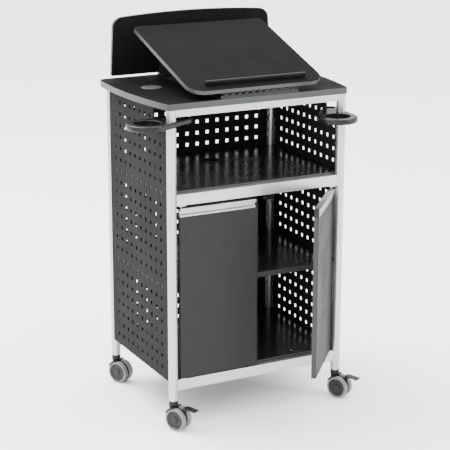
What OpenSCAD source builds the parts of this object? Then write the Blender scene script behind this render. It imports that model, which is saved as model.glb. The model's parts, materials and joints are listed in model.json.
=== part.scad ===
// Mobile presentation lectern: four tube posts on twin-wheel casters, perforated steel
// panels, an open equipment bay over a two-door cabinet, a bowed desktop with a back
// screen, a tilting reading board on a prop strut, and two swing-out cup holders.
// Millimetres. +X is the user's right, -Y the door side, +Z up, floor at z = 0.

/* [Frame] */
// Distance between post centres, left to right
post_span_x = 613; // [480:1:760]
// Distance between post centres, front to back
post_span_y = 470; // [380:1:580]
// Length of the posts
post_h = 958; // [780:1:1150]
// Outer diameter of the posts
post_d = 31; // [25:1:38]
// Wall of the post tubes
post_wall = 2; // [1.5:0.5:3]
// Height of the post bottoms above the floor
post_lift = 96; // [90:1:125]
// Front to back depth of the rails
rail_depth = 20; // [16:1:24]
// Height of the bottom and middle rails
rail_h = 36; // [28:1:44]
// Height of the top rails
top_rail_h = 22; // [16:1:30]
// Wall of the rail tubes
rail_wall = 2; // [1.5:0.5:3]
// Underside of the bottom rails above the post bottoms
bottom_rail_z = 34; // [20:1:50]
// Underside of the middle rail above the post bottoms
middle_rail_z = 652; // [520:1:700]

/* [Perforated panels] */
// Sheet thickness of the panels
sheet = 1.5; // [1:0.1:2.5]
// Distance from the post centre line to the outer face of a side panel
panel_offset = 11; // [8:0.5:12]
// Bottom of the panels above the post bottoms
panel_z = 61; // [40:1:90]
// Pitch of the square holes
hole_pitch = 39; // [30:1:60]
// Side of a square hole
hole_size = 12; // [6:0.5:16]
// Least plain border between the outer holes and the sheet's edge
hole_border = 36; // [28:1:50]

/* [Desktop] */
// Thickness of the desktop
top_t = 20; // [16:1:28]
// Distance from the front post centres to the desktop's front edge
top_front = 13; // [0:1:40]
// Distance from the rear post centres to the desktop's rear edge
top_rear = 19; // [16:1:60]
// Overhang of the desktop beyond the post centres at its front corners
top_side_front = 16; // [10:1:40]
// Overhang of the desktop beyond the post centres at its widest
top_side_mid = 48; // [20:1:80]
// Overhang of the desktop beyond the post centres at its rear corners
top_side_rear = 36; // [16:1:70]
// Radius of the desktop's front corners
top_r_front = 6; // [3:1:20]
// Radius of the desktop's rear corners
top_r_rear = 28; // [10:1:40]
// Bore for a cable grommet
grommet_bore = 60; // [40:1:80]
// Flange diameter of a cable grommet
grommet_flange = 68; // [50:1:90]
// Sideways place of the desktop grommets
grommet_x = 250; // [180:1:270]
// Front to back place of the desktop grommets
grommet_y = 33; // [-100:1:120]

/* [Back screen] */
// Width of the back screen at its foot
screen_w = 604; // [400:1:640]
// Width of the back screen at its shoulders
screen_top_w = 588; // [390:1:620]
// Height of the back screen
screen_h = 205; // [120:1:320]
// Rise of the arched top edge
screen_arch = 13; // [4:1:30]
// Radius of the shoulders
screen_r = 36; // [15:1:60]
// Thickness of the back screen
screen_t = 14; // [10:1:20]
// Gap under the back screen
screen_gap = 9; // [4:1:20]
// Width of the steel angle that holds the back screen
angle_w = 254; // [160:1:320]

/* [Shelves] */
// Thickness of the shelves
shelf_t = 19; // [15:1:25]
// Lip of the equipment shelf above the middle rail
shelf_lip = 7; // [3:1:10]
// Top of the cabinet shelf above the post bottoms
cabinet_shelf_z = 380; // [250:1:480]
// Top of the bottom shelf above the post bottoms
bottom_shelf_z = 79; // [70:1:110]
// Set-back of the cabinet shelf behind the rail centre line
cabinet_setback = 30; // [22:1:80]
// Leg of the steel angles that carry the shelves
bracket_leg = 16; // [10:1:20]

/* [Doors] */
// Thickness of the doors
door_t = 16; // [13:0.1:20]
// Clearance between a post and the corner of a door that turns past it
door_clear = 0.75; // [0.5:0.25:4]
// Gap between the two closed doors
door_mid_gap = 10; // [4:1:16]
// Gap between the bottom rail and the doors
door_low_gap = 4; // [4:1:10]
// Gap between the doors and the middle rail
door_top_gap = 9; // [5:1:16]
// Height of the handle strip
handle_h = 28; // [20:1:40]
// Reach of the handle lip in front of the door
handle_reach = 5; // [3:0.5:8]
// Length of the plain end cap at a door's free edge
handle_cap = 9; // [4:1:20]
// Diameter of the hinge pins
pivot_d = 6; // [4:0.5:8]
// Angle at which the right door stands open
door_right_open = 49; // [0:1:90]

/* [Reading board] */
// Width of the reading board
board_w = 480; // [360:1:520]
// Length of the reading board along its slope
board_l = 468; // [300:1:468]
// Thickness of the reading board
board_t = 15; // [12:1:19]
// Radius of the reading board's front corners
board_r_front = 52; // [10:1:80]
// Radius of the reading board's rear corners
board_r_rear = 18; // [6:1:60]
// Resting slope of the reading board
board_tilt = 18; // [5:1:36]
// Distance from the hinge axis to the underside of the board
board_drop = 10; // [9:0.5:14]
// Width of the reading board's base plate and hinge
base_w = 276; // [200:1:340]
// Thickness of the base plate
base_t = 3; // [2:0.5:4]
// Diameter of the hinge knuckles
knuckle_d = 8; // [7:0.5:9]
// Length of one hinge knuckle
knuckle_l = 12; // [10:1:16]
// Diameter of the hinge pin
board_pin_d = 4; // [3:0.5:5]
// Length of the prop strut between its pivot and its foot
strut_l = 200; // [150:1:205]
// Diameter of the prop strut's rod
strut_d = 8; // [6:0.5:8.5]
// Width of the paper ledge
ledge_w = 360; // [250:1:420]
// Height of the paper ledge
ledge_h = 17; // [10:1:25]
// Thickness of the paper ledge
ledge_t = 6; // [4:0.5:10]
// Distance from the board's front edge to the paper ledge
ledge_in = 30; // [12:1:60]

/* [Cup holders] */
// Thickness of a cup holder tray
tray_t = 18; // [14:0.1:24]
// Radius of the tray's large end
tray_r_big = 66; // [55:1:75]
// Radius of the tray's small end
tray_r_small = 27; // [24:1:34]
// Diameter of the cup well
cup_d = 84; // [60:1:90]
// Floor left under the cup well
cup_floor = 3; // [2:0.5:5]
// Diameter of the pen hole
pen_d = 34; // [20:1:40]
// Drop of the left tray's top below the desktop
tray_left_drop = 35; // [30:1:120]
// Drop of the right tray's top below the desktop
tray_right_drop = 60; // [30:1:120]
// Turn of the right tray from the left tray's resting place
tray_right_turn = 56; // [40:1:70]
// Clearance between a tray and the notch cut for it in a side panel
tray_clear = 6; // [4:1:12]

/* [Casters] */
// Wheel diameter
wheel_d = 75; // [60:1:80]
// Width of one wheel of a twin
wheel_w = 18; // [14:1:22]
// Diameter of a wheel's hub inside its tread
hub_d = 60; // [46:1:62]
// Width of the web between the twin wheels
web_w = 12; // [10:1:16]
// Distance from the swivel axis to the axle
caster_trail = 20; // [14:1:24]
// Axle diameter
axle_d = 8; // [6:0.5:10]
// Direction that the casters trail in
caster_heading = -62; // [-180:1:180]

/* [Hidden] */

$fn = 64;
over = 1;                       // Cutters run this far past the faces they cut
fit = 0.1;                      // Radial clearance of a turning fit
hx = post_span_x / 2;
hy = post_span_y / 2;
post_r = post_d / 2;
post_top = post_lift + post_h;
desk_z = post_top + top_t;
middle_z = post_lift + middle_rail_z;
bottom_z = post_lift + bottom_rail_z;
panel_low = post_lift + panel_z;
panel_h = post_top - 3 - panel_low;
silver = [0.80, 0.81, 0.82];
charcoal = [0.27, 0.27, 0.28];
laminate = [0.22, 0.24, 0.25];
black = [0.09, 0.09, 0.10];
steel = [0.62, 0.62, 0.62];
grey = [0.66, 0.67, 0.68];

// Doors, in the closed position
pivot_in = 8;                   // Hinge axis inward from the hinge edge
pivot_x = hx - post_r - door_clear - norm([pivot_in, door_t / 2 + handle_reach]);
door_edge_x = pivot_x + pivot_in;
door_back = 4;                  // Back of a closed door, in front of the rails' rear faces
pivot_y = -hy + rail_depth / 2 - door_back - door_t / 2;
door_z = bottom_z + rail_h + door_low_gap;
door_top = middle_z - door_top_gap;
door_w = door_edge_x - door_mid_gap / 2;
plate_t = 2.5;                  // Hinge plates on the rails
plate_w = 24;

// Reading board frame: the hinge axis, with s along the board and n off it
hinge_y = -hy - top_front + 7;
fold_gap = 0.5;                 // Left over the base plate when the board is folded flat
hinge_rise = knuckle_d / 2 + fold_gap;
hinge_z = desk_z + base_t + hinge_rise;
board_s0 = 1.8;                 // Front edge of the board behind the hinge axis
ear_wall = 1.5;                 // Ear left under the strut's upper rod
strut_n = strut_d / 2 + ear_wall + fold_gap - hinge_rise;
foot_n = strut_d / 2 + fold_gap - hinge_rise - strut_n;

// Cup holders, from the post's axis
cup_at = [-77, 8];
pen_at = [62, 38];

// Casters
wheel_r = wheel_d / 2;
neck_z = wheel_d + 3;

// Pivot of the brake lever, ahead of the wheels and clear of the treads
lever_r = wheel_r + 9;
lever_a = 50;
lever_at = [caster_trail + lever_r * cos(lever_a), wheel_r + lever_r * sin(lever_a)];
lever_pin = 5;
lever_hub = 10;
lever_reach = 38;
lever_half = web_w / 2 + 6.4;

// How far each side reaches from the middle of the posts, which puts the origin under the
// middle of the whole box: a cup holder, the brake lever or desktop, the rear wheels and
// the open door
reach_left = hx + max(top_side_mid, tray_r_big - cup_at[0]);
reach_right = hx + max(top_side_mid,
    (lever_at[0] + lever_hub / 2 + lever_reach) * cos(caster_heading)
    + lever_half * abs(sin(caster_heading)));
reach_rear = hy + max(top_rear, caster_trail * sin(caster_heading)
    + wheel_r * abs(sin(caster_heading)) + (web_w / 2 + wheel_w) * abs(cos(caster_heading)));
reach_front = max(hy + top_front, (door_w - pivot_in) * sin(door_right_open) - pivot_y
    + door_t / 2 * cos(door_right_open));
origin_x = (reach_right - reach_left) / 2;
origin_y = (reach_rear - reach_front) / 2;

// Points of an arc, from angle a to angle b
function arc(c, r, a, b, n = 10) =
    [for (i = [0 : n]) c + r * [cos(a + (b - a) * i / n), sin(a + (b - a) * i / n)]];

// Points mirrored to the other side of X, in reverse order
function mirrored(p) = [for (i = [len(p) - 1 : -1 : 0]) [-p[i][0], p[i][1]]];

module placed() { translate([-origin_x, -origin_y, 0]) children(); }

// ---------- Frame ----------
module post(sx, sy) {
    color(silver) placed() translate([sx * hx, sy * hy, post_lift]) difference() {
        cylinder(d = post_d, h = post_h);
        translate([0, 0, -over]) cylinder(d = post_d - 2 * post_wall, h = post_h + 2 * over);
    }
}

// A hollow rail along X whose ends are coped round the posts
module rail(sy, z, h) {
    difference() {
        translate([-hx, sy * hy - rail_depth / 2, z]) cube([2 * hx, rail_depth, h]);
        translate([-hx - over, sy * hy - rail_depth / 2 + rail_wall, z + rail_wall])
            cube([2 * hx + 2 * over, rail_depth - 2 * rail_wall, h - 2 * rail_wall]);
        for (sx = [-1, 1]) translate([sx * hx, sy * hy, z - over])
            cylinder(d = post_d, h = h + 2 * over);
    }
}

screw_xs = [-hx + 60, 0, hx - 60];
screw_d = 5;
screw_in = top_t * 0.6;         // Length of a screw in the desktop

module top_rails() {
    color(silver) placed() difference() {
        for (sy = [-1, 1]) rail(sy, post_top - top_rail_h, top_rail_h);
        for (sy = [-1, 1], x = screw_xs) translate([x, sy * hy, post_top - top_rail_h - over])
            cylinder(d = screw_d, h = top_rail_h + 2 * over);
    }
}

module middle_rail() { color(silver) placed() rail(-1, middle_z, rail_h); }

module bottom_rails() {
    color(silver) placed() for (sy = [-1, 1]) rail(sy, bottom_z, rail_h);
}

module tabletop_screws() {
    head_h = 3;
    color(steel) placed() for (sy = [-1, 1], x = screw_xs)
        translate([x, sy * hy, post_top - top_rail_h]) {
            cylinder(d = screw_d, h = top_rail_h + screw_in);
            translate([0, 0, -head_h]) cylinder(d = 2 * screw_d, h = head_h);
        }
}

// How far from a post's centre a sheet of the given offset meets the post
function meets(offset) = sqrt(post_r * post_r - offset * offset);

// A square-holed sheet with its outer face on z = 0. The top corner on side "ns" has a
// notch of size "notch", in which a cup holder swings.
module perforated(w, h, ns = 1, notch = [0, 0]) {
    cols = floor((w - 2 * hole_border) / hole_pitch);
    rows = floor((h - 2 * hole_border) / hole_pitch);
    keep = hole_size / 2 + 3;
    translate([0, 0, -sheet]) linear_extrude(sheet) difference() {
        translate([-w / 2, 0]) square([w, h]);
        for (i = [0 : cols], j = [0 : rows])
            let (x = (i - cols / 2) * hole_pitch, y = h / 2 + (j - rows / 2) * hole_pitch)
                if (ns * x < w / 2 - notch[0] - keep || y < h - notch[1] - keep)
                    translate([x, y]) square(hole_size, center = true);
        if (notch[0] > 0) translate([ns * (w - notch[0] + over) / 2, h - (notch[1] - over) / 2])
            square([notch[0] + over, notch[1] + over], center = true);
    }
}

// The notch reaches past the tray's small end, down to just below the tray
module side_panel(sx, drop) {
    gap = meets(panel_offset - sheet);
    notch = [norm(pen_at) + tray_r_small + tray_clear - gap,
        drop + tray_t + tray_clear - (post_top - panel_low - panel_h)];
    color(charcoal) placed() translate([sx * (hx + panel_offset), 0, panel_low])
        rotate([90, 0, sx * 90]) perforated(post_span_y - 2 * gap, panel_h, -sx, notch);
}

// Lies on the rear faces of the rear rails, between the posts
module back_panel() {
    color(charcoal) placed() translate([0, hy + rail_depth / 2 + sheet, panel_low])
        rotate([90, 0, 180]) perforated(post_span_x - 2 * meets(rail_depth / 2), panel_h);
}

// ---------- Desktop ----------
// The side is one circle through its front corner, widest point and rear corner
function bow_x(y) =
    let (yf = -hy - top_front, yr = hy + top_rear, u = (y - yf) / (yr - yf),
        a = top_side_front, m = top_side_mid, b = top_side_rear)
    hx + a + (4 * m - 3 * a - b) * u + (2 * a + 2 * b - 4 * m) * u * u;

function desk_side() =
    let (yf = -hy - top_front, yr = hy + top_rear, n = 20)
    concat(
        arc([bow_x(yf) - top_r_front, yf + top_r_front], top_r_front, -90, -12, 5),
        [for (i = [1 : n - 1])
            let (y = yf + top_r_front + (yr - top_r_rear - yf - top_r_front) * i / n) [bow_x(y), y]],
        arc([bow_x(yr - top_r_rear) - top_r_rear, yr - top_r_rear], top_r_rear, 0, 90, 10));

module tabletop() {
    color(laminate) placed() translate([0, 0, post_top]) difference() {
        linear_extrude(top_t) polygon(concat(desk_side(), mirrored(desk_side())));
        for (s = [-1, 1]) translate([s * grommet_x, grommet_y, -over])
            cylinder(d = grommet_bore, h = top_t + 2 * over);
        for (sy = [-1, 1], x = screw_xs) translate([x, sy * hy, -over])
            cylinder(d = screw_d, h = screw_in + over);
    }
}

// A flanged liner for a cable hole, its flange on z = 0
flange_t = 2;
liner_d = grommet_bore - 6;

module grommet(depth) {
    difference() {
        union() {
            cylinder(d = grommet_flange, h = flange_t);
            translate([0, 0, -depth]) cylinder(d = grommet_bore, h = depth + flange_t / 2);
        }
        translate([0, 0, -depth - over]) cylinder(d = liner_d, h = depth + flange_t + 2 * over);
    }
}

module desk_grommets() {
    color(grey) placed() for (s = [-1, 1]) translate([s * grommet_x, grommet_y, desk_z])
        grommet(top_t);
}

// A cap that fills the liner, with a slot for the cables at its rear
module desk_grommet_caps() {
    cap_t = 4.5;
    slot = 16;
    color(grey) placed() for (s = [-1, 1])
        translate([s * grommet_x, grommet_y, desk_z + flange_t + 0.5 - cap_t]) difference() {
            cylinder(d = liner_d, h = cap_t);
            translate([-slot / 2, liner_d / 2 - slot, -over]) cube([slot, slot + over, cap_t + 2 * over]);
        }
}

module shelf_grommet() {
    color(black) placed() translate([0, shelf_hole_y, shelf_top]) grommet(shelf_t);
}

// ---------- Back screen ----------
foot_r = 5;                     // Lower corners of the back screen

function screen_half() =
    let (hw = screen_top_w / 2, cx = hw - screen_r,
        drop = screen_arch * pow(cx / hw, 2), cz = screen_h - drop - screen_r, n = 12)
    concat(
        arc([screen_w / 2 - foot_r, foot_r], foot_r, -90, 0, 4),
        arc([cx, cz], screen_r, 0, 90, 10),
        [for (i = [1 : n]) let (x = cx * (1 - i / n)) [x, screen_h - screen_arch * pow(x / hw, 2)]]);

screen_y = hy + top_rear - 2;   // Rear face of the back screen

module backboard() {
    half = screen_half();
    left = mirrored(half);
    color(laminate) placed() translate([0, screen_y, desk_z + screen_gap]) rotate([90, 0, 0])
        linear_extrude(screen_t)
            polygon(concat(half, [for (i = [1 : len(left) - 1]) left[i]]));
}

// A steel angle screwed to the desktop; its upright stands against the screen's front
module backboard_bracket() {
    front = screen_y - screen_t;
    leg_t = 3;
    foot = 30;
    upright = 60;
    color(black) placed() {
        translate([-angle_w / 2, front - leg_t, desk_z]) cube([angle_w, leg_t, upright]);
        translate([-angle_w / 2, front - foot, desk_z]) cube([angle_w, foot, leg_t]);
        translate([-angle_w / 2, front, desk_z]) cube([angle_w, screen_t, screen_gap]);
    }
}

// ---------- Shelves ----------
shelf_top = middle_z + rail_h + shelf_lip;
shelf_hole_y = 101;
shelf_gap = 0.5;                // Clearance of a shelf to the posts, panels and rails
shelf_x = hx + panel_offset - sheet - shelf_gap;
rail_face = hy - rail_depth / 2;

// A shelf between the side panels, from y = front to y = back, cut round the posts
module shelf(front, back, top) {
    difference() {
        translate([-shelf_x, front, top - shelf_t]) cube([2 * shelf_x, back - front, shelf_t]);
        for (sx = [-1, 1], sy = [-1, 1]) translate([sx * hx, sy * hy, top - shelf_t - over])
            cylinder(r = post_r + shelf_gap, h = shelf_t + 2 * over);
    }
}

module equipment_shelf() {
    color(black) placed() difference() {
        shelf(-rail_face, hy + rail_depth / 2 - shelf_gap, shelf_top);
        translate([0, shelf_hole_y, shelf_top - shelf_t - over])
            cylinder(d = grommet_bore, h = shelf_t + 2 * over);
    }
}

module cabinet_shelf() {
    color(black) placed()
        shelf(-hy + cabinet_setback, hy + rail_depth / 2 - shelf_gap, post_lift + cabinet_shelf_z);
}

module bottom_shelf() {
    color(black) placed()
        shelf(-rail_face + shelf_gap, rail_face - shelf_gap, post_lift + bottom_shelf_z);
}

// A steel angle under a shelf, its upright on x = 0 and its shelf leg towards +X
module bracket() {
    leg_t = 1.5;
    len = 30;
    translate([0, -len / 2, -bracket_leg]) cube([leg_t, len, bracket_leg]);
    translate([0, -len / 2, -leg_t]) cube([bracket_leg, len, leg_t]);
}

// Two a side on the side panels under the upper shelves, and two on each bottom rail
module shelf_brackets() {
    from_middle = 110;
    color(steel) placed() {
        for (turn = [0, 180], y = [-from_middle, from_middle], top = [shelf_top, post_lift + cabinet_shelf_z])
            rotate(turn) translate([-(hx + panel_offset - sheet), y, top - shelf_t]) bracket();
        for (turn = [90, -90], x = [-from_middle, from_middle])
            rotate(turn) translate([-rail_face, x, post_lift + bottom_shelf_z - shelf_t]) bracket();
    }
}

// ---------- Doors ----------
// A door is drawn closed on the right side and mirrored for the left one
module turned(sx, open) {
    translate([sx * pivot_x, pivot_y, 0]) rotate([0, 0, sx * open])
        translate([-sx * pivot_x, -pivot_y, 0]) mirror([sx > 0 ? 0 : 1, 0, 0]) children();
}

pin_in = 20;                    // Depth of a hinge pin in the door

module pivot_bores() {
    translate([pivot_x, pivot_y, door_z - over]) cylinder(d = pivot_d, h = pin_in + over);
    translate([pivot_x, pivot_y, door_top - handle_h - pin_in])
        cylinder(d = pivot_d, h = handle_h + pin_in + over);
}

module door_panel() {
    color(charcoal) difference() {
        translate([door_mid_gap / 2, pivot_y - door_t / 2, door_z])
            cube([door_w, door_t, door_top - handle_h - door_z]);
        pivot_bores();
    }
}

// Aluminium strip with a lip over a finger recess, along the top of a door
lip_h = 9;                      // Height of the lip's front
lip_t = 3.5;                    // Thickness of the lip
recess = 4;                     // Depth of the finger recess in the door
ease = 2;                       // Slope of the lip's edges

module door_handle() {
    front = -door_t / 2;
    nose = front - handle_reach;
    under = -lip_t - 1;
    color(grey) difference() {
        translate([door_mid_gap / 2 + handle_cap, pivot_y, door_top]) rotate([90, 0, 90])
            linear_extrude(door_w - handle_cap) polygon([
                [-front, 0], [nose + ease, 0], [nose, -ease], [nose, -lip_h], [nose + ease, -lip_h],
                [nose + lip_t, under], [front + recess, under], [front + recess, lip_h - handle_h],
                [front, lip_h - recess - handle_h], [front, -handle_h], [-front, -handle_h]]);
        pivot_bores();
    }
}

module door_cap() {
    color(black) translate([door_mid_gap / 2, pivot_y - door_t / 2, door_top - handle_h])
        cube([handle_cap, door_t, handle_h]);
}

// Pins that reach from the door through the hinge plates, short of the rails
module door_pivots() {
    short = 0.5;
    color(steel) translate([pivot_x, pivot_y, 0]) {
        translate([0, 0, door_z - door_low_gap + short])
            cylinder(d = pivot_d, h = pin_in + door_low_gap - short);
        translate([0, 0, door_top - handle_h - pin_in])
            cylinder(d = pivot_d, h = handle_h + pin_in + door_top_gap - short);
    }
}

// Plates on the rails that carry the hinge pins
module hinge_plates() {
    color(steel) placed() for (sx = [-1, 1], z = [bottom_z + rail_h, middle_z - plate_t])
        difference() {
            translate([sx * pivot_x - plate_w / 2, -hy - rail_depth / 2, z])
                cube([plate_w, rail_depth, plate_t]);
            translate([sx * pivot_x, pivot_y, z - over])
                cylinder(r = pivot_d / 2 + fit, h = plate_t + 2 * over);
        }
}

// Magnet catches under the middle rail, behind the free edge of each door
module door_catches() {
    size = [32, 14, 22];
    behind = 1;
    color(black) placed() for (sx = [-1, 1])
        translate([sx * 45 - size[0] / 2, pivot_y + door_t / 2 + behind, middle_z - size[2]])
            cube(size);
}

// ---------- Reading board ----------
// Children are drawn with the hinge axis at the origin, s along +Y and n along +Z
module on_board() {
    placed() translate([0, hinge_y, hinge_z]) rotate([board_tilt, 0, 0]) children();
}

function board_half() = concat(
    arc([board_w / 2 - board_r_front, board_s0 + board_r_front], board_r_front, -90, 0, 14),
    arc([board_w / 2 - board_r_rear, board_s0 + board_l - board_r_rear], board_r_rear, 0, 90, 8));

module reading_board() {
    color(laminate) on_board() translate([0, 0, board_drop]) linear_extrude(board_t)
        polygon(concat(board_half(), mirrored(board_half())));
}

module paper_ledge() {
    color(black) on_board() translate([-ledge_w / 2, board_s0 + ledge_in, board_drop + board_t])
        cube([ledge_w, ledge_t, ledge_h]);
}

knuckles = floor((base_w / knuckle_l - 1) / 2) * 2 + 1;
knuckle_run = knuckles * knuckle_l;

// Alternate knuckles on the hinge axis, the first of them at place "first"
knuckle_gap = 0.15;             // At each end of a knuckle

module knuckle_row(first, down, up, depth) {
    for (i = [first : 2 : knuckles - 1])
        translate([-knuckle_run / 2 + i * knuckle_l + knuckle_gap, 0, 0]) {
            rotate([0, 90, 0]) cylinder(d = knuckle_d, h = knuckle_l - 2 * knuckle_gap);
            translate([0, -depth / 2, down]) cube([knuckle_l - 2 * knuckle_gap, depth, up - down]);
        }
}

module hinge_bore(r) {
    translate([-knuckle_run, 0, 0]) rotate([0, 90, 0]) cylinder(r = r, h = 2 * knuckle_run);
}

// Leaf under the board, with knuckles that turn on the pin
module board_hinge_leaf() {
    leaf = 30;
    leaf_t = 2;
    color(steel) on_board() difference() {
        union() {
            knuckle_row(1, 0, board_drop, 3.6);
            translate([-knuckle_run / 2, board_s0, board_drop - leaf_t]) cube([knuckle_run, leaf, leaf_t]);
            for (i = [1 : 2 : knuckles - 1])
                translate([-knuckle_run / 2 + i * knuckle_l + knuckle_gap, 0, board_drop - leaf_t])
                    cube([knuckle_l - 2 * knuckle_gap, board_s0 + 1, leaf_t]);
        }
        hinge_bore(board_pin_d / 2 + fit);
    }
}

module board_hinge_pin() {
    color(steel) placed() translate([-knuckle_run / 2, hinge_y, hinge_z]) rotate([0, 90, 0])
        cylinder(d = board_pin_d, h = knuckle_run);
}

base_rear = hy - 60;

// Base plate on the desktop with a front lip and the fixed knuckles
module easel_base() {
    front = hinge_y - 6;
    lip = knuckle_d / 2 + 0.8;
    color(black) placed() difference() {
        union() {
            translate([-base_w / 2, front, desk_z]) cube([base_w, base_rear - front, base_t]);
            translate([-base_w / 2, front, desk_z]) cube([base_w, hinge_y - lip - front, base_t + 5]);
            translate([0, hinge_y, hinge_z]) knuckle_row(0, -hinge_rise - 0.5, 0, 4);
        }
        translate([0, hinge_y, hinge_z]) hinge_bore(board_pin_d / 2);
    }
}

ear_x = 70;
ear_t = 4;
ear_r = 9;

// Ears under the board that carry the strut's upper rod
module strut_ears() {
    low = strut_n - strut_d / 2 - ear_wall;
    color(steel) on_board() for (s = [-1, 1]) translate([s * ear_x - ear_t / 2, strut_l, 0])
        difference() {
            union() {
                translate([0, -ear_r, strut_n]) cube([ear_t, 2 * ear_r, board_drop - strut_n]);
                intersection() {
                    translate([0, 0, strut_n]) rotate([0, 90, 0]) cylinder(r = ear_r, h = ear_t);
                    translate([0, -ear_r, low]) cube([ear_t, 2 * ear_r, strut_n - low]);
                }
            }
            translate([-over, 0, strut_n]) rotate([0, 90, 0])
                cylinder(r = strut_d / 2 + fit, h = ear_t + 2 * over);
        }
}

// A rod frame: upper rod in the ears, two legs, and a foot rod on the base plate
module prop_strut() {
    leg_x = ear_x - 14;
    reach = ear_x + ear_t / 2 + 4;
    color(steel) on_board() translate([0, strut_l, strut_n]) rotate([-2 * board_tilt, 0, 0]) {
        translate([-reach, 0, 0]) rotate([0, 90, 0]) cylinder(d = strut_d, h = 2 * reach);
        translate([-leg_x - strut_d / 2, strut_l, foot_n]) rotate([0, 90, 0])
            cylinder(d = strut_d, h = 2 * leg_x + strut_d);
        for (s = [-1, 1]) translate([s * leg_x, 0, 0]) rotate([-90, 0, 0])
            cylinder(d = strut_d, h = strut_l);
    }
}

// ---------- Cup holders ----------
collar_r = post_r + 3;
collar_h = 5;
collar_gap = 0.5;               // Clearance round a collar in its tray

// A tray round the post at the origin, its top on z = 0, drawn for the left side
module cup_tray() {
    d = pen_at - cup_at;
    dist = norm(d);
    aim = atan2(d[1], d[0]);
    taper = asin((tray_r_big - tray_r_small) / dist);
    outline = concat(
        arc(cup_at, tray_r_big, aim + 90 - taper, aim + 270 + taper, 28),
        arc(pen_at, tray_r_small, aim - 90 + taper, aim + 90 - taper, 14));
    difference() {
        translate([0, 0, -tray_t]) linear_extrude(tray_t) polygon(outline);
        translate([cup_at[0], cup_at[1], cup_floor - tray_t]) cylinder(d = cup_d, h = tray_t);
        translate([pen_at[0], pen_at[1], -tray_t - over])
            cylinder(d = pen_d, h = tray_t + 2 * over);
        translate([0, 0, -tray_t - over]) cylinder(r = post_r + fit, h = tray_t + 2 * over);
        translate([0, 0, -tray_t - over]) cylinder(r = collar_r + collar_gap, h = collar_h + over);
    }
}

module cup_holder_left() {
    color(black) placed() translate([-hx, -hy, post_top - tray_left_drop]) cup_tray();
}

module cup_holder_right() {
    color(black) placed() translate([hx, -hy, post_top - tray_right_drop])
        rotate([0, 0, tray_right_turn]) cup_tray();
}

// Rings fixed on the posts inside the trays, which carry their weight
module cup_collars() {
    color(steel) placed() for (side = [[-hx, tray_left_drop], [hx, tray_right_drop]])
        translate([side[0], -hy, post_top - side[1] - tray_t]) difference() {
            cylinder(r = collar_r, h = collar_h);
            translate([0, 0, -over]) cylinder(d = post_d, h = collar_h + 2 * over);
        }
}

// ---------- Casters ----------
socket_len = 40;
stem_d = 11;

module caster_sockets() {
    floor_t = 4;
    color(black) placed() for (sx = [-1, 1], sy = [-1, 1])
        translate([sx * hx, sy * hy, post_lift]) difference() {
            cylinder(d = post_d - 2 * post_wall, h = socket_len);
            translate([0, 0, -over])
                cylinder(r = stem_d / 2 + fit, h = socket_len - floor_t + over);
        }
}

// Children are drawn on the swivel axis with the axle along Y and the trail along +X
module caster_at(sx, sy) {
    placed() translate([sx * hx, sy * hy, 0]) rotate([0, 0, caster_heading]) children();
}

module along_axle(z0, d, h) {
    translate([caster_trail, z0, wheel_r]) rotate([-90, 0, 0]) cylinder(d = d, h = h);
}

hood_t = 3;
hood_gap = 1.5;                 // Clearance between the treads and the hood
hood_low = wheel_r + 14;        // Lower edges of the hood
swivel_gap = 0.5;               // Between a caster's neck and the post above it
stem_in = socket_len - 8;       // Length of a stem in its socket

// Stem, neck, web with the axle bore, and a hood over the wheels' tops
module caster_housing(sx, sy, brake) {
    hood_r = wheel_r + hood_gap + hood_t;
    web_x = post_r - 3;
    width = 2 * wheel_w + web_w;
    color(black) caster_at(sx, sy) difference() {
        union() {
            translate([0, 0, neck_z]) cylinder(d = post_d, h = post_lift - neck_z - swivel_gap);
            translate([0, 0, post_lift - swivel_gap - over])
                cylinder(d = stem_d, h = stem_in + swivel_gap + over);
            along_axle(-web_w / 2, hub_d, web_w);
            translate([-web_x, -web_w / 2, wheel_r]) cube([2 * web_x, web_w, neck_z - wheel_r + over]);
            intersection() {
                along_axle(-width / 2, 2 * hood_r, width);
                translate([-post_r, -width / 2, hood_low]) cube([2 * post_r, width, hood_r]);
            }
            if (brake) {   // An arm to the lever's pin
                translate([caster_trail, -web_w / 2, wheel_r]) rotate([0, -lever_a, 0])
                    translate([0, 0, -lever_hub / 2]) cube([lever_r, web_w, lever_hub]);
                translate([lever_at[0], -web_w / 2, lever_at[1]]) rotate([-90, 0, 0])
                    cylinder(d = lever_hub, h = web_w);
            }
        }
        for (s = [0, 1]) mirror([0, s, 0])
            along_axle(web_w / 2, wheel_d + 2 * hood_gap, wheel_w + over);
        along_axle(-web_w, axle_d, 2 * web_w);
        translate([lever_at[0], -web_w, lever_at[1]]) rotate([-90, 0, 0])
            cylinder(d = lever_pin + 2 * fit, h = 2 * web_w);
    }
}

wheel_gap = 0.4;                // Between a wheel and the web

module caster_axle(sx, sy) {
    len = web_w + 2 * wheel_w;
    color(steel) caster_at(sx, sy) along_axle(-len / 2, axle_d, len);
}

// Hub discs of the twin, with a dished outer face
dish = 3;
boss_d = 22;

module caster_hubs(sx, sy) {
    color([0.16, 0.16, 0.17]) caster_at(sx, sy) for (s = [0, 1]) mirror([0, s, 0]) difference() {
        along_axle(web_w / 2 + wheel_gap, hub_d, wheel_w - wheel_gap);
        along_axle(web_w / 2, axle_d + 2 * fit, wheel_w + over);
        difference() {
            along_axle(web_w / 2 + wheel_w - dish, hub_d - 8, dish + over);
            along_axle(web_w / 2 + wheel_w - dish, boss_d, dish);
        }
    }
}

module caster_treads(sx, sy) {
    color(grey) caster_at(sx, sy) for (s = [0, 1]) mirror([0, s, 0]) difference() {
        along_axle(web_w / 2 + wheel_gap, wheel_d, wheel_w - wheel_gap - 1);
        along_axle(web_w / 2, hub_d, wheel_w + over);
    }
}

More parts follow.
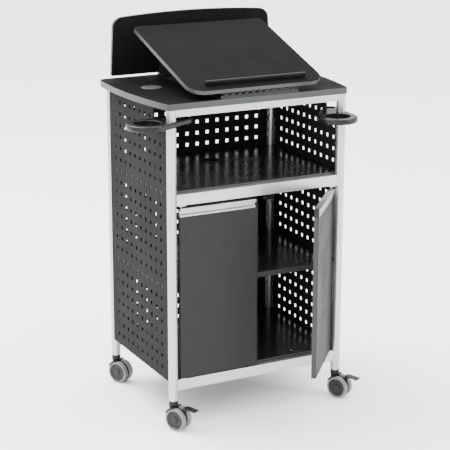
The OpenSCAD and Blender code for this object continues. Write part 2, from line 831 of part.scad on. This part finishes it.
// A pedal with two cheeks and a pin through the housing's lug
module brake_lever(sx, sy) {
    cheek = 3;
    inner = web_w / 2 + wheel_gap;
    half = inner + cheek;
    hub_r = lever_hub / 2;
    pedal_t = 4;
    pedal_z = hub_r + 1.2;
    slope = 6;
    color(black) caster_at(sx, sy) translate([lever_at[0], 0, lever_at[1]]) {
        for (s = [0, 1]) mirror([0, s, 0]) {
            translate([0, inner, 0]) rotate([-90, 0, 0]) cylinder(r = hub_r, h = cheek);
            translate([-hub_r, inner, 0]) cube([lever_hub, cheek, pedal_z + 1]);
        }
        translate([0, -half, 0]) rotate([-90, 0, 0]) cylinder(d = lever_pin, h = 2 * half);
        translate([-hub_r, -half, pedal_z]) cube([lever_hub, 2 * half, pedal_t]);
        translate([hub_r, -lever_half, pedal_z]) rotate([0, slope, 0])
            cube([lever_reach, 2 * lever_half, pedal_t]);
    }
}

post(-1, -1);  // post_front_left
post(1, -1);  // post_front_right
post(-1, 1);  // post_rear_left
post(1, 1);  // post_rear_right
top_rails();
middle_rail();
bottom_rails();
side_panel(-1, tray_left_drop);  // side_panel_left
side_panel(1, tray_right_drop);  // side_panel_right
back_panel();
tabletop();
tabletop_screws();
equipment_shelf();
cabinet_shelf();
bottom_shelf();
shelf_brackets();
backboard();
backboard_bracket();
desk_grommets();
desk_grommet_caps();
shelf_grommet();
caster_sockets();
hinge_plates();
door_catches();
easel_base();
cup_collars();
placed() turned(-1, 0) door_panel();  // door_left
placed() turned(-1, 0) door_handle();  // door_left_handle
placed() turned(-1, 0) door_cap();  // door_left_cap
placed() turned(-1, 0) door_pivots();  // door_left_pivots
placed() turned(1, door_right_open) door_panel();  // door_right
placed() turned(1, door_right_open) door_handle();  // door_right_handle
placed() turned(1, door_right_open) door_cap();  // door_right_cap
placed() turned(1, door_right_open) door_pivots();  // door_right_pivots
reading_board();
paper_ledge();
board_hinge_leaf();
board_hinge_pin();
strut_ears();
prop_strut();
cup_holder_left();
cup_holder_right();
caster_housing(-1, -1, true);  // caster_fl_housing
caster_axle(-1, -1);  // caster_fl_axle
caster_hubs(-1, -1);  // caster_fl_hubs
caster_treads(-1, -1);  // caster_fl_treads
caster_housing(1, -1, true);  // caster_fr_housing
caster_axle(1, -1);  // caster_fr_axle
caster_hubs(1, -1);  // caster_fr_hubs
caster_treads(1, -1);  // caster_fr_treads
caster_housing(-1, 1, false);  // caster_rl_housing
caster_axle(-1, 1);  // caster_rl_axle
caster_hubs(-1, 1);  // caster_rl_hubs
caster_treads(-1, 1);  // caster_rl_treads
caster_housing(1, 1, false);  // caster_rr_housing
caster_axle(1, 1);  // caster_rr_axle
caster_hubs(1, 1);  // caster_rr_hubs
caster_treads(1, 1);  // caster_rr_treads
brake_lever(-1, -1);  // brake_lever_fl
brake_lever(1, -1);  // brake_lever_fr
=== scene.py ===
"""Looks for the mobile presentation lectern: finished boards, trays, casters and paint.

Metres, in the row frame: +X to the user's right, -Y the door side, +Z up, floor at z = 0.
"""
import json
import math

import bmesh
import bpy
from mathutils import Matrix, Vector

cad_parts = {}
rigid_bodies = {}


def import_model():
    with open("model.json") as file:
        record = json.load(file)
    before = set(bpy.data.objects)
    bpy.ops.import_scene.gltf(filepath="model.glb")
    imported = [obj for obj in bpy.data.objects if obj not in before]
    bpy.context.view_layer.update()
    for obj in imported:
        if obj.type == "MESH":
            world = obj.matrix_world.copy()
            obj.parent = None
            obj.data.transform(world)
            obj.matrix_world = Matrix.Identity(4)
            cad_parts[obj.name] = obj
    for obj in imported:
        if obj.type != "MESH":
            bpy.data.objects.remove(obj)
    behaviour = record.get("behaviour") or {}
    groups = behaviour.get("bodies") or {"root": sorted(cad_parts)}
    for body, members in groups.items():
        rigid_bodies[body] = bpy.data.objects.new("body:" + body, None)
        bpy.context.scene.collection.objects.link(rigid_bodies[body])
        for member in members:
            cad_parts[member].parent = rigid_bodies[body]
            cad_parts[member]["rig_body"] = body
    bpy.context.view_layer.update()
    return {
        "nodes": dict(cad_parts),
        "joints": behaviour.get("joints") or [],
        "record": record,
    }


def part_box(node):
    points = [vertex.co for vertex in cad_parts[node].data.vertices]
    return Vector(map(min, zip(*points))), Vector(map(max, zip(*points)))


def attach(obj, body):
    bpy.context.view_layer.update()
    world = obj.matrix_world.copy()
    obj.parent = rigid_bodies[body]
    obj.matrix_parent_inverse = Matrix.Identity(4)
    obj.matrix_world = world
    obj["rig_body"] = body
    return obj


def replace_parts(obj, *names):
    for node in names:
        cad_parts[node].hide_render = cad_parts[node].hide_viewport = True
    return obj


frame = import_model()

MM = 0.001
NODES = frame["nodes"]
JOINTS = {joint["name"]: joint for joint in frame["joints"]}
SLOTS = {part["node"]: part["material_slot"] for part in frame["record"]["subparts"]}
CORNERS = ("fl", "fr", "rl", "rr")
WELD = 0.003 * MM               # Points closer than this are one point
FLAT_DEG = 0.5                  # Faces that meet at less than this are one flat face


# ---------- Materials ----------
class Surface:
    """A node material on object coordinates, built up one layer at a time."""

    def __init__(self, name, roughness, metallic=0.0, specular=0.5):
        self.material = bpy.data.materials.new(name)
        self.material.use_nodes = True
        self.tree = self.material.node_tree
        self.shader = self.tree.nodes["Principled BSDF"]
        self.shader.inputs["Metallic"].default_value = metallic
        self.shader.inputs["Specular IOR Level"].default_value = specular
        self.shader.inputs["Roughness"].default_value = roughness
        self.place = self.tree.nodes.new("ShaderNodeTexCoord").outputs["Object"]
        self.last_bump = None

    def link(self, output, socket):
        self.tree.links.new(output, socket)

    def noise(self, scale, stretch=(1, 1, 1), detail=3.0, rough=0.5):
        """Noise with features about 1 / scale metres across, drawn out along an axis."""
        mapping = self.tree.nodes.new("ShaderNodeMapping")
        mapping.inputs["Scale"].default_value = stretch
        self.link(self.place, mapping.inputs["Vector"])
        node = self.tree.nodes.new("ShaderNodeTexNoise")
        node.inputs["Scale"].default_value = scale
        node.inputs["Detail"].default_value = detail
        node.inputs["Roughness"].default_value = rough
        self.link(mapping.outputs["Vector"], node.inputs["Vector"])
        return node.outputs["Fac"]

    def ramp(self, value, low, high, start=0.3, end=0.7):
        """Turns a value into a colour between low and high."""
        node = self.tree.nodes.new("ShaderNodeValToRGB")
        for stop, at, colour in zip(node.color_ramp.elements, (start, end), (low, high)):
            stop.position = at
            stop.color = (*colour, 1)
        self.link(value, node.inputs["Fac"])
        return node.outputs["Color"]

    def blend(self, kind, factor, first, second):
        node = self.tree.nodes.new("ShaderNodeMix")
        node.data_type = "RGBA"
        node.blend_type = kind
        node.inputs["Factor"].default_value = factor
        self.link(first, node.inputs["A"])
        self.link(second, node.inputs["B"])
        return node.outputs["Result"]

    def colour(self, base, clouds, cloud_spread, grain, grain_spread):
        """Base colour with broad tone changes and fine grain, each a share of the base."""
        low, high = ([c * (1 + s * cloud_spread) for c in base] for s in (-1, 1))
        broad = self.ramp(clouds, low, high)
        fine = self.ramp(grain, [1 - grain_spread] * 3, [1.0] * 3)
        self.link(self.blend("MULTIPLY", 1.0, broad, fine), self.shader.inputs["Base Color"])

    def roughness(self, value, low, high):
        node = self.tree.nodes.new("ShaderNodeMapRange")
        node.inputs["From Min"].default_value = 0.3
        node.inputs["From Max"].default_value = 0.7
        node.inputs["To Min"].default_value = low
        node.inputs["To Max"].default_value = high
        self.link(value, node.inputs["Value"])
        self.link(node.outputs["Result"], self.shader.inputs["Roughness"])

    def bump(self, value, depth, strength=1.0):
        """Relief of the given depth in metres, on top of the bumps before it."""
        node = self.tree.nodes.new("ShaderNodeBump")
        node.inputs["Distance"].default_value = depth
        node.inputs["Strength"].default_value = strength
        self.link(value, node.inputs["Height"])
        if self.last_bump:
            self.link(self.last_bump, node.inputs["Normal"])
        self.last_bump = node.outputs["Normal"]
        self.link(self.last_bump, self.shader.inputs["Normal"])


def powder_coat(name, base, roughness, peel, fleck, specular=0.5, metallic=0.0):
    """Baked paint: an orange-peel skin, fine flecks, and slow changes of gloss."""
    s = Surface(name, roughness, metallic, specular)
    fine = s.noise(1100, detail=2)
    clouds = s.noise(6)
    s.colour(base, clouds, 0.04, fine, fleck)
    s.roughness(clouds, roughness - 0.05, roughness + 0.06)
    s.bump(s.noise(420, detail=2), peel)
    s.bump(fine, peel * 0.4)
    return s.material


def laminate(name, base, roughness, grain_axis, streak, specular, fleck=0.10):
    """Pressed laminate: faint streaks along the board, pores, and handled patches."""
    s = Surface(name, roughness, specular=specular)
    stretch = [1.0 if axis != grain_axis else 0.04 for axis in "xyz"]
    streaks = s.noise(240, stretch, detail=4)
    pores = s.noise(900, detail=2)
    smudge = s.noise(9, detail=4)
    s.colour(base, streaks, streak, pores, fleck)
    s.roughness(smudge, roughness - 0.06, roughness + 0.07)
    s.bump(pores, 0.00003)
    s.bump(streaks, 0.00002)
    return s.material


def brushed(name, base, roughness, along, scratch=0.00004):
    """Brushed or drawn metal, with scratches along one axis."""
    s = Surface(name, roughness, metallic=1.0)
    stretch = [60.0 if axis != along else 0.6 for axis in "xyz"]
    lines = s.noise(30, stretch, detail=3)
    s.colour(base, s.noise(14), 0.03, lines, 0.16)
    s.roughness(lines, roughness - 0.07, roughness + 0.08)
    s.bump(lines, scratch)
    return s.material


def moulded(name, base, roughness, texture=0.00005, specular=0.5):
    """Moulded plastic with a fine spark-eroded skin and a few shinier patches."""
    s = Surface(name, roughness, specular=specular)
    skin = s.noise(1500, detail=2)
    flow = s.noise(22)
    s.colour(base, flow, 0.06, skin, 0.12)
    s.roughness(flow, roughness - 0.05, roughness + 0.06)
    s.bump(skin, texture)
    return s.material


def tread_rubber(name, base):
    """Polyurethane tread with a worn, slightly dusty skin."""
    s = Surface(name, 0.6)
    dust = s.noise(120, detail=5)
    s.colour(base, dust, 0.10, s.noise(1400), 0.10)
    s.roughness(dust, 0.5, 0.72)
    s.bump(s.noise(1400), 0.00005)
    return s.material


LOOKS = {
    "silver_paint": powder_coat("silver powder coat", (0.47, 0.48, 0.475), 0.30, 0.00004, 0.10,
                                metallic=0.8),
    "charcoal_paint": powder_coat("charcoal powder coat", (0.017, 0.0165, 0.018), 0.6, 0.00016, 0.40, 0.03),
    "desk_laminate": laminate("desk laminate", (0.0065, 0.0066, 0.0068), 0.5, "x", 0.08, 0.01),
    "shelf_laminate": laminate("shelf laminate", (0.008, 0.008, 0.009), 0.22, "x", 0.10, 0.40),
    "door_laminate": laminate("door laminate", (0.022, 0.022, 0.021), 0.5, "z", 0.06, 0.06),
    "aluminium": brushed("anodised aluminium", (0.40, 0.41, 0.41), 0.36, "x"),
    "zinc": brushed("zinc plate", (0.46, 0.47, 0.48), 0.38, "z"),
    "black_steel": powder_coat("black powder coat", (0.010, 0.010, 0.011), 0.45, 0.00006, 0.2, 0.3),
    "black_plastic": moulded("black plastic", (0.006, 0.006, 0.007), 0.24, specular=0.22),
    "grey_plastic": moulded("grey plastic", (0.050, 0.052, 0.053), 0.42, specular=0.2),
    "tread": tread_rubber("grey tread", (0.14, 0.145, 0.145)),
}
EDGE_BAND = moulded("edge band", (0.034, 0.037, 0.039), 0.36, 0.00002, 0.35)
DOOR_EDGE = moulded("door edge band", (0.026, 0.024, 0.027), 0.4, 0.00002, 0.3)
HUB_PLASTIC = moulded("hub plastic", (0.010, 0.010, 0.011), 0.32, specular=0.3)
AXLE_STEEL = brushed("blackened axle steel", (0.045, 0.045, 0.047), 0.45, "z")


# ---------- Mesh helpers ----------
def new_piece(name, mesh, node, *materials):
    """Makes a piece of the mesh, on the CAD node's body."""
    data = bpy.data.meshes.new(name)
    mesh.to_mesh(data)
    mesh.free()
    for material in materials:
        data.materials.append(material)
    piece = bpy.data.objects.new(name, data)
    bpy.context.scene.collection.objects.link(piece)
    piece.modifiers.new("even shading", "WEIGHTED_NORMAL").keep_sharp = True
    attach(piece, NODES[node]["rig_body"])
    return piece


def shade(mesh, sharp_angle=38):
    """Smooth faces, with edges over the angle kept sharp."""
    for face in mesh.faces:
        face.smooth = True
    for edge in mesh.edges:
        edge.smooth = len(edge.link_faces) == 2 and edge.calc_face_angle(0) < math.radians(sharp_angle)


def clean_copy(node):
    """The CAD node's mesh with its triangles joined into whole flat faces."""
    mesh = bmesh.new()
    mesh.from_mesh(NODES[node].data)
    for layer in list(mesh.loops.layers.uv):
        mesh.loops.layers.uv.remove(layer)
    bmesh.ops.remove_doubles(mesh, verts=mesh.verts, dist=WELD)
    bmesh.ops.dissolve_limit(mesh, angle_limit=math.radians(FLAT_DEG), verts=mesh.verts, edges=mesh.edges,
                             use_dissolve_boundaries=False)
    for face in mesh.faces:
        face.material_index = 0
    return mesh


def round_edges(mesh, width, chosen=lambda middle: True, segments=3, over_angle=30):
    """Rounds the sharp edges whose middle point is chosen."""
    edges = [edge for edge in mesh.edges if len(edge.link_faces) == 2
             and edge.calc_face_angle(0) > math.radians(over_angle)
             and chosen((edge.verts[0].co + edge.verts[1].co) / 2)]
    if edges:
        bmesh.ops.bevel(mesh, geom=edges, offset=width, segments=segments, profile=0.5,
                        affect="EDGES", clamp_overlap=True, material=-1)


def banded(mesh, normal):
    """Gives the second material to the faces round the rim of a board."""
    for face in mesh.faces:
        if abs(face.normal.dot(normal)) < 0.5:
            face.material_index = 1


def lathe(mesh, profile, centre, axis, steps=96):
    """Turns a profile of (radius, distance along the axis) round a line through centre."""
    axis = axis.normalized()
    side = axis.orthogonal().normalized()
    rings = []
    for radius, along in profile:
        base = centre + axis * along
        if radius < 1e-6:
            rings.append([mesh.verts.new(base)])
            continue
        rings.append([mesh.verts.new(base + Matrix.Rotation(math.tau * i / steps, 3, axis) @ side * radius)
                      for i in range(steps)])
    for a, b in zip(rings, rings[1:]):
        for i in range(steps):
            j = (i + 1) % steps
            corners = [a[i % len(a)], a[j % len(a)], b[j % len(b)], b[i % len(b)]]
            face = list(dict.fromkeys(corners))
            if len(face) > 2:
                mesh.faces.new(face)


def arc(centre_r, centre_t, radius, start, end, steps=6):
    """Points of a quarter or other arc in a lathe profile, angles in degrees."""
    angles = [math.radians(start + (end - start) * i / steps) for i in range(steps + 1)]
    return [(centre_r + radius * math.cos(a), centre_t + radius * math.sin(a)) for a in angles]


def finish_node(node, width, *materials, normal=None, chosen=lambda middle: True, segments=3):
    """Replaces a CAD node with the same shape, its edges rounded and its rim banded."""
    mesh = clean_copy(node)
    round_edges(mesh, width, chosen, segments)
    mesh.normal_update()
    if normal:
        banded(mesh, Vector(normal))
    shade(mesh)
    piece = new_piece(node + "_finished", mesh, node, *(materials or [LOOKS[SLOTS[node]]]))
    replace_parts(piece, node)
    return piece


def reach(node, origin, axis):
    """How far the node's mesh reaches along an axis from a point, lowest and highest."""
    along = [(v.co - origin).dot(axis) for v in NODES[node].data.vertices]
    return min(along), max(along)


def joint_point(name):
    return Vector(JOINTS[name]["pos_m"])


def joint_axis(name):
    return Vector(JOINTS[name]["axis"]).normalized()


# ---------- Frame and panels ----------
for name, node in NODES.items():
    node.data.materials.clear()
    node.data.materials.append(LOOKS[SLOTS[name]])

for rail in ("top_rails", "middle_rail", "bottom_rails"):
    finish_node(rail, 1.6 * MM, segments=4)

for corner in CORNERS:
    NODES[f"caster_{corner}_axle"].data.materials[0] = AXLE_STEEL

# ---------- Boards ----------
tilt_up = next(face.normal.copy() for face in NODES["reading_board"].data.polygons
               if face.normal.z > 0.5 and abs(face.normal.x) < 0.01)

finish_node("tabletop", 1.8 * MM, LOOKS["desk_laminate"], EDGE_BAND, normal=(0, 0, 1), segments=4)
finish_node("reading_board", 1.6 * MM, LOOKS["desk_laminate"], EDGE_BAND, normal=tilt_up, segments=4)
finish_node("backboard", 1.6 * MM, LOOKS["desk_laminate"], EDGE_BAND, normal=(0, 1, 0), segments=4)
for shelf in ("equipment_shelf", "cabinet_shelf", "bottom_shelf"):
    finish_node(shelf, 0.8 * MM, LOOKS["shelf_laminate"], EDGE_BAND, normal=(0, 0, 1))

# ---------- Doors ----------
for side in ("left", "right"):
    door = f"door_{side}"
    widest = max(NODES[door].data.polygons, key=lambda face: face.area if abs(face.normal.z) < 0.1 else 0)
    finish_node(door, 0.8 * MM, LOOKS["door_laminate"], DOOR_EDGE, normal=widest.normal.copy())
    finish_node(door + "_handle", 0.5 * MM, segments=2)
    finish_node(door + "_cap", 0.8 * MM)

# ---------- Small fittings ----------
for node, width in (("paper_ledge", 2.2), ("desk_grommets", 0.7), ("desk_grommet_caps", 0.7),
                    ("shelf_grommet", 0.7), ("backboard_bracket", 0.5), ("door_catches", 1.0)):
    finish_node(node, width * MM)


# ---------- Cup holders ----------
PEN_HOLE_R = 17 * MM
COLLAR_CLEAR = 22 * MM          # Edges nearer to the post than this stay crisp
RIM_ROUND = 5.5 * MM
WELL_ROUND = 1.6 * MM


def cup_tray(side):
    """A tray with a fully rounded rim and softened wells."""
    node = f"cup_holder_{side}"
    post = joint_point(f"cup_{side}_swivel")
    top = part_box(node)[1].z
    wells = [(Vector(mount["pos_m"]), mount["dims"]["r_mm"] * MM) for mount in frame["record"]["mounts"]
             if mount["name"] == f"cup_well_{side}"]
    for space in frame["record"]["physics"]["openings"]:
        if space["name"] == f"pen_hole_{side}":
            low, high = map(Vector, space["box_m"])
            wells.append(((low + high) / 2, PEN_HOLE_R))

    def in_well(middle):
        return any((middle - centre).xy.length < radius + 0.5 * MM for centre, radius in wells)

    def on_rim(middle):
        return (middle - post).xy.length > COLLAR_CLEAR and not in_well(middle)

    mesh = clean_copy(node)
    round_edges(mesh, RIM_ROUND, on_rim, segments=6)
    round_edges(mesh, WELL_ROUND, lambda middle: in_well(middle) and middle.z > top - 1 * MM)
    mesh.normal_update()
    shade(mesh)
    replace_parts(new_piece(node + "_finished", mesh, node, LOOKS["black_plastic"]), node)


cup_tray("left")
cup_tray("right")


# ---------- Casters ----------
HUB_DEPTH = 17.6 * MM
HUB_BORE_R = 4.1 * MM
HUB_LIP = 1.2 * MM
TREAD_ROUND = 3.2 * MM


def wheel_pair(corner):
    """Twin wheels: a dished hub with rings and a centre cap, and a round-shouldered tread."""
    roll = f"caster_{corner}_roll"
    centre, axle = joint_point(roll), joint_axis(roll)
    hub_node, tread_node = f"caster_{corner}_hubs", f"caster_{corner}_treads"
    wheel_r = (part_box(tread_node)[1].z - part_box(tread_node)[0].z) / 2
    hub_r = (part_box(hub_node)[1].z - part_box(hub_node)[0].z) / 2
    outer = reach(hub_node, centre, axle)[1]
    tread_out = reach(tread_node, centre, axle)[1]
    inner = outer - HUB_DEPTH
    bore = HUB_BORE_R
    hubs, treads = bmesh.new(), bmesh.new()
    for sign in (-1, 1):
        axis = axle * sign
        lathe(hubs, [(bore, outer - 4 * MM), (bore, inner), (hub_r, inner), (hub_r, outer - HUB_LIP)]
              + arc(hub_r - HUB_LIP, outer - HUB_LIP, HUB_LIP, 0, 90)
              + [(hub_r - 2.2 * MM, outer), (hub_r - 3.4 * MM, outer - 1.6 * MM),
                 (0.74 * hub_r, outer - 2.6 * MM), (0.72 * hub_r, outer - 2.0 * MM),
                 (0.68 * hub_r, outer - 2.0 * MM), (0.66 * hub_r, outer - 2.8 * MM),
                 (0.42 * hub_r, outer - 3.4 * MM), (0.40 * hub_r, outer - 1.8 * MM)]
              + arc(0.36 * hub_r, outer - 1.8 * MM, 1.0 * MM, 0, 90, 4)
              + [(0.2 * hub_r, outer - 0.5 * MM), (bore + 0.4 * MM, outer - 0.4 * MM),
                 (bore, outer - 4 * MM)],
              centre, axis)
        lathe(treads, [(hub_r, inner)]
              + arc(wheel_r - TREAD_ROUND, inner + TREAD_ROUND, TREAD_ROUND, -90, 0)
              + arc(wheel_r - TREAD_ROUND, tread_out - TREAD_ROUND, TREAD_ROUND, 0, 78)
              + [(hub_r + 1.2 * MM, tread_out + 0.3 * MM), (hub_r, tread_out - 0.4 * MM), (hub_r, inner)],
              centre, axis)
    for mesh, node, look in ((hubs, hub_node, HUB_PLASTIC), (treads, tread_node, LOOKS["tread"])):
        bmesh.ops.remove_doubles(mesh, verts=mesh.verts, dist=1e-6)
        bmesh.ops.recalc_face_normals(mesh, faces=mesh.faces)
        shade(mesh, 32)
        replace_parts(new_piece(node + "_turned", mesh, node, look), node)


for corner in CORNERS:
    wheel_pair(corner)
    finish_node(f"caster_{corner}_housing", 0.8 * MM)
for corner in ("fl", "fr"):
    finish_node(f"brake_lever_{corner}", 1.2 * MM)


# ---------- Stage ----------
def flat_floor(size):
    mesh = bmesh.new()
    bmesh.ops.create_grid(mesh, x_segments=1, y_segments=1, size=size / 2)
    data = bpy.data.meshes.new("floor")
    mesh.to_mesh(data)
    mesh.free()
    s = Surface("studio floor", 0.75, specular=0.2)
    s.colour((0.93, 0.93, 0.93), s.noise(0.7), 0.01, s.noise(60), 0.02)
    data.materials.append(s.material)
    floor = bpy.data.objects.new("floor", data)
    bpy.context.scene.collection.objects.link(floor)


def soft_light(name, place, target, size, power):
    data = bpy.data.lights.new(name, "AREA")
    data.shape = "RECTANGLE"
    data.size, data.size_y = size
    data.energy = power
    light = bpy.data.objects.new(name, data)
    light.location = place
    light.rotation_euler = (Vector(target) - Vector(place)).to_track_quat("-Z", "Y").to_euler()
    bpy.context.scene.collection.objects.link(light)


flat_floor(60)
soft_light("top rear", (-1.6, 2.2, 4.6), (0, 0, 0.6), (3.2, 3.2), 500)
soft_light("front left", (-4.2, -3.6, 2.6), (0, 0, 0.7), (2.4, 2.6), 150)
soft_light("front right", (3.6, -3.4, 2.4), (0, 0, 0.7), (0.9, 3.0), 150)


def studio_world(low, high):
    """White all round, dimmer towards the horizon than overhead, as in a lit studio."""
    world = bpy.data.worlds.new("studio")
    world.use_nodes = True
    tree = world.node_tree
    place = tree.nodes.new("ShaderNodeTexCoord")
    split = tree.nodes.new("ShaderNodeSeparateXYZ")
    climb = tree.nodes.new("ShaderNodeMapRange")
    climb.interpolation_type = "SMOOTHSTEP"
    climb.inputs["From Min"].default_value = 0.25
    climb.inputs["From Max"].default_value = 0.85
    climb.inputs["To Min"].default_value = low
    climb.inputs["To Max"].default_value = high
    background = tree.nodes["Background"]
    background.inputs["Color"].default_value = (1, 1, 1, 1)
    tree.links.new(place.outputs["Generated"], split.inputs["Vector"])
    tree.links.new(split.outputs["Z"], climb.inputs["Value"])
    tree.links.new(climb.outputs["Result"], background.inputs["Strength"])
    bpy.context.scene.world = world


studio_world(1.4, 4.6)

# ---------- Camera ----------
CAMERA_AT = (-2.150, -4.153, 1.950)
LENS_MM, SENSOR_MM = 117.4, 36
yaw, pitch, roll = math.radians(27.36), math.radians(15.91), math.radians(-0.11)

camera_data = bpy.data.cameras.new("camera")
camera_data.lens = LENS_MM
camera_data.sensor_width = SENSOR_MM
camera = bpy.data.objects.new("camera", camera_data)
camera.location = CAMERA_AT
camera.rotation_euler = (Matrix.Rotation(-yaw, 3, "Z") @ Matrix.Rotation(math.pi / 2 - pitch, 3, "X")
                         @ Matrix.Rotation(-roll, 3, "Z")).to_euler()
bpy.context.scene.collection.objects.link(camera)
bpy.context.scene.camera = camera
